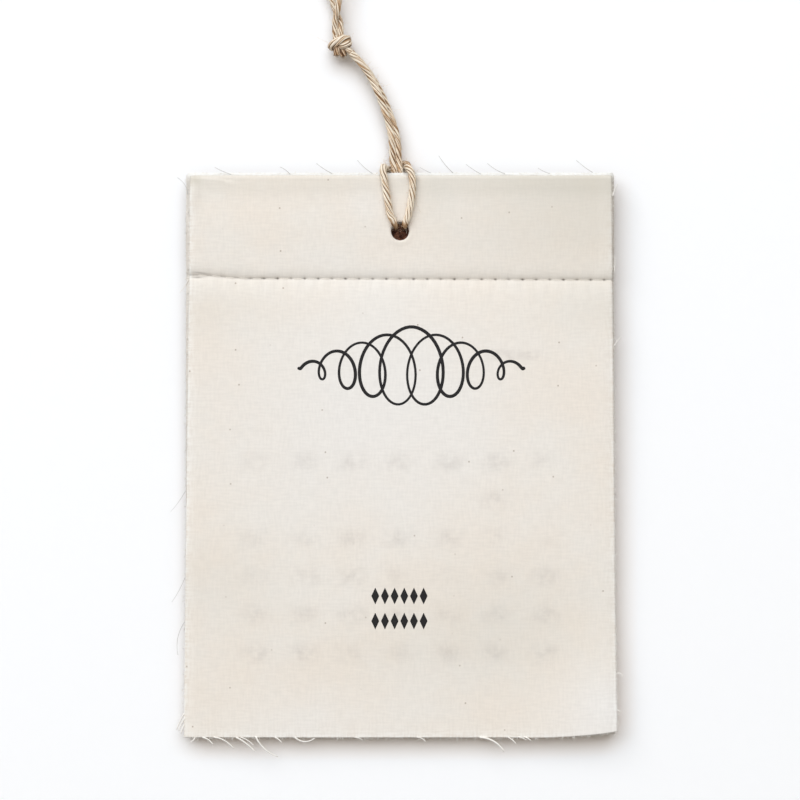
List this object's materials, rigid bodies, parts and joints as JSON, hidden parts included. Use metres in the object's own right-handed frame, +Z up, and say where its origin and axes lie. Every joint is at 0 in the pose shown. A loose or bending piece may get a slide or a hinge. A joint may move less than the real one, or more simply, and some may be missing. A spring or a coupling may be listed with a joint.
{
  "type": "cloth wall calendar",
  "caption": "Cloth wall calendar of raw-edged sheets sewn together near the top and hung by a knotted loop of jute twine hitched through a hole.",
  "frame": {"origin": "the nail inside the top of the hanging loop", "axes": "+X to the right seen from the front, +Y from the front towards the wall, +Z up"},
  "size_m": [0.151, 0.012, 0.2913],
  "materials": {
    "cover_cloth": "plain-woven unbleached cotton, matte",
    "page_cloth": "plain-woven unbleached cotton, matte",
    "sewing_thread": "spun cotton sewing thread",
    "jute_twine": "laid jute, fuzzy"
  },
  "bodies": {
    "root": {"front_cover": "cover_cloth", "month_pages": "page_cloth", "needle_thread": "sewing_thread", "bobbin_thread": "sewing_thread", "hitch_twine": "jute_twine", "twine_knot": "jute_twine", "hanger_twine": "jute_twine"}
  },
  "joints": []
}
